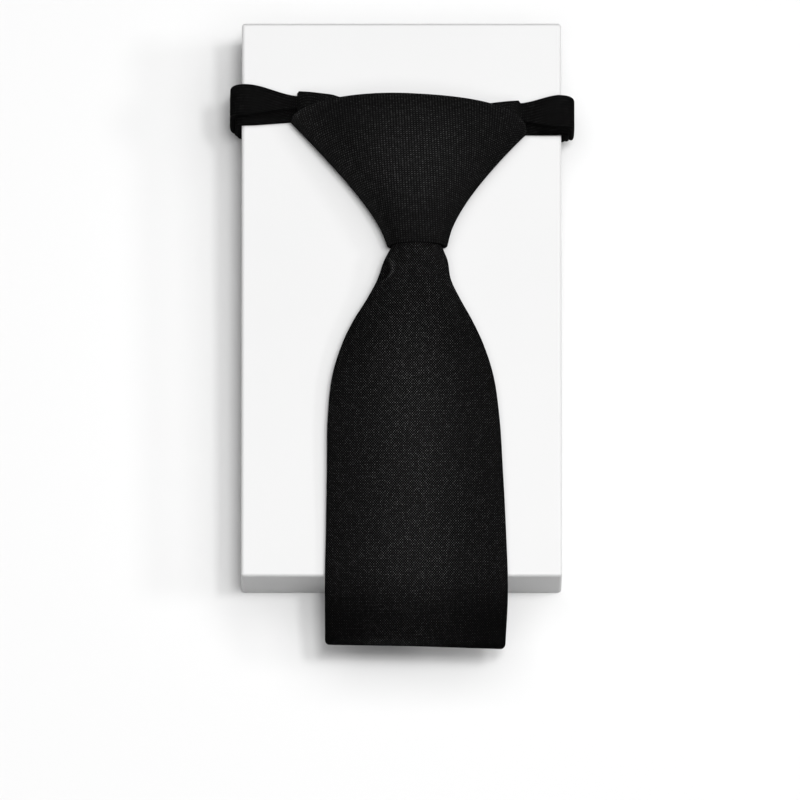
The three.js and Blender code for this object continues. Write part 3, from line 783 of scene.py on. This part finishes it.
# Painted light and shade on the blade's cloth, point by point.
hem_light_across = np.exp(-((around_places + HEM_PAINTED_LIGHT["left"]) / HEM_PAINTED_LIGHT["reach"]) ** 2)
hem_light = smooth(rows, *BLADE_HEM)[:, None] * hem_light_across[None, :]
edge_painted_shade = mix(BLADE_PAINTED_LIGHT["middle"], BLADE_PAINTED_LIGHT["edge"], smooth(rows, *BLADE_EDGE_SHADE_SPAN))[:, None]
blade_painted_light = (
    mix(edge_painted_shade, BLADE_PAINTED_LIGHT["middle"], np.exp(-(around_places / BLADE_PAINTED_LIGHT["reach"]) ** 2)[None, :])
    * mix(BLADE_PAINTED_LIGHT["gathered"], 1, smooth(rows, *BLADE_OPENED))[:, None]
    * mix(1, BLADE_PAINTED_LIGHT["overhang"], smooth(rows, *BLADE_OVER))[:, None]
    * (1 + DIMPLE_PAINTED_LIGHT["crest"] * crest - DIMPLE_PAINTED_LIGHT["hollow"] * hollow)
    * (1 + BLADE_PAINTED_LIGHT["hem"] * hem_light)
)
blade_middle = BLADE_PARTS["across"] // 2
tie_blade = skin(
    "tie_blade", blade_rings, BLADE_WEAVE, closed=False, start=blade_middle, painted_light=blade_painted_light,
)
bias_cloth = woven_cloth(
    "black_plain_weave", yarn=0.122, weft_share=0.75, crispness=12.0, painted_glint_spread=0.3,
)
tie_blade.data.materials.append(bias_cloth)
hand_over(tie_blade, "blade")


# Zip tail: the zipped ends of the band, woven tape that comes down through the knot and
# lies flat behind the blade, where nothing of it shows from the front. It is swept along
# its path, narrow at its neck, with rounded selvedges and both ends cut square.
TAIL_WIDTH = 0.018
TAIL_NECK_WIDTH = 0.0105
TAIL_LENGTH = 0.068
TAIL_STEP = 0.007
TAIL_BEND = 0.012
TAIL_SELVEDGE = 0.001
TAIL_PARTS = {"along": 96, "bend": 8, "selvedge": 5}
TAIL_WEAVE = (0.0009, 0.0007)

tail_start = BAND_MIDDLE + BAND_WIDTH * BAND_EDGES[0]["low"] - CLEARANCE
tail_end = KNOT_MOUTH - TAIL_LENGTH
tail_high = TAIL_BASE + TAIL_THICKNESS / 2
tail_low = CLEARANCE + TAIL_THICKNESS / 2
tail_path = [
    (0, tail_start, tail_high),
    (0, KNOT_MOUTH, tail_high),
    (0, KNOT_MOUTH - TAIL_STEP, tail_low),
    (0, tail_end, tail_low),
]
tape_sizes = {
    "Width": TAIL_WIDTH,
    "Thickness": TAIL_THICKNESS,
    "Selvedge": TAIL_SELVEDGE,
    "Bend": TAIL_BEND,
    "Neck share": TAIL_NECK_WIDTH / TAIL_WIDTH,
    "Neck ends": KNOT_MOUTH,
    "Full from": KNOT_MOUTH - TAIL_LENGTH / 2,
    "Thread across": TAIL_WEAVE[0],
    "Thread along": TAIL_WEAVE[1],
    # The tape's painted light and shade, at the band's level.
    "Painted light": BAND_PAINTED_LIGHT,
}


def tape_tree(finish):
    """Geometry Nodes that sweep a strip along a path of edges, and the names of its inputs."""
    tree = bpy.data.node_groups.new("zip_tape", "GeometryNodeTree")
    tree.interface.new_socket("Path", in_out="INPUT", socket_type="NodeSocketGeometry")
    keys = {
        name: tree.interface.new_socket(name, in_out="INPUT", socket_type="NodeSocketFloat").identifier
        for name in tape_sizes
    }
    tree.interface.new_socket("Tape", in_out="OUTPUT", socket_type="NodeSocketGeometry")
    given = tree.nodes.new("NodeGroupInput")
    path = Socket(tree, given.outputs["Path"])
    size = {name: Socket(tree, given.outputs[name]) for name in tape_sizes}
    node = path.node

    line = node("GeometryNodeMeshToCurve", Mesh=path)
    line = node(
        "GeometryNodeFilletCurve", {"mode": "POLY"},
        Curve=line, Count=TAIL_PARTS["bend"], Radius=size["Bend"],
    )
    line = node("GeometryNodeResampleCurve", Curve=line, Count=TAIL_PARTS["along"])
    line = node("GeometryNodeSetCurveNormal", {"mode": "Z_UP"}, Curve=line)
    outline = node("GeometryNodeCurvePrimitiveQuadrilateral", Width=size["Width"], Height=size["Thickness"])
    outline = node(
        "GeometryNodeFilletCurve", {"mode": "POLY"},
        Curve=outline, Count=TAIL_PARTS["selvedge"], Radius=size["Selvedge"],
    )
    tape = node("GeometryNodeCurveToMesh", Curve=line, Profile_Curve=outline, Fill_Caps=True)

    down = node("ShaderNodeSeparateXYZ", out=1, i0=node("GeometryNodeInputPosition"))
    width = node(
        "ShaderNodeMapRange", {"interpolation_type": "SMOOTHSTEP"}, Value=down,
        From_Min=size["Neck ends"], From_Max=size["Full from"], To_Min=size["Neck share"],
    )
    narrowed = node(
        "ShaderNodeVectorMath", {"operation": "MULTIPLY"},
        i0=node("GeometryNodeInputPosition"), i1=node("ShaderNodeCombineXYZ", X=width, Y=1.0, Z=1.0),
    )
    tape = node("GeometryNodeSetPosition", Geometry=tape, Position=narrowed)

    place = node("GeometryNodeInputPosition")
    x, y, z = (node("ShaderNodeSeparateXYZ", out=axis, i0=place) for axis in range(3))
    across = (x + z).maths("DIVIDE", size["Thread across"])
    threads = node("ShaderNodeCombineXYZ", X=across, Y=y.maths("DIVIDE", size["Thread along"]))
    tape = node(
        "GeometryNodeStoreNamedAttribute", {"data_type": "FLOAT2", "domain": "CORNER"},
        Geometry=tape, Name="threads", Value=threads,
    )
    # The tape carries one even level of painted light and shade.
    tape = node("GeometryNodeStoreNamedAttribute", Geometry=tape, Name="painted_light", Value=size["Painted light"])
    tape = node("GeometryNodeRealizeInstances", Geometry=tape)
    tape = node("GeometryNodeSetMaterial", Geometry=tape, Material=finish)
    tree.links.new(tape.source, tree.nodes.new("NodeGroupOutput").inputs["Tape"])
    return tree, keys


black_tape = woven_cloth(
    "black_zip_tape", yarn=0.05, weft_share=0.8, crispness=2.0, painted_glint_spread=0.25,
)
tape_mesh = bpy.data.meshes.new("tape_path")
tape_mesh.from_pydata(tail_path, [(0, 1), (1, 2), (2, 3)], [])
zip_tape = bpy.data.objects.new("zip_tape", tape_mesh)
bpy.context.scene.collection.objects.link(zip_tape)
sweep = zip_tape.modifiers.new("sweep", "NODES")
sweep.node_group, tape_keys = tape_tree(black_tape)
for name, value in tape_sizes.items():
    sweep[tape_keys[name]] = value
swept = zip_tape.evaluated_get(bpy.context.evaluated_depsgraph_get())
tape_mesh = bpy.data.meshes.new_from_object(swept)
zip_tape.modifiers.remove(sweep)
zip_tape.data = tape_mesh
tape_mesh.transform(LAID @ Matrix.Translation((TIE_AXIS, 0, 0)))
face_outwards(tape_mesh)
tape_mesh.polygons.foreach_set("use_smooth", [len(face.vertices) == 4 for face in tape_mesh.polygons])
hand_over(zip_tape, "zip_tail")
tail_start - KNOT_MOUTH + TAIL_LENGTH

bpy.context.view_layer.update()
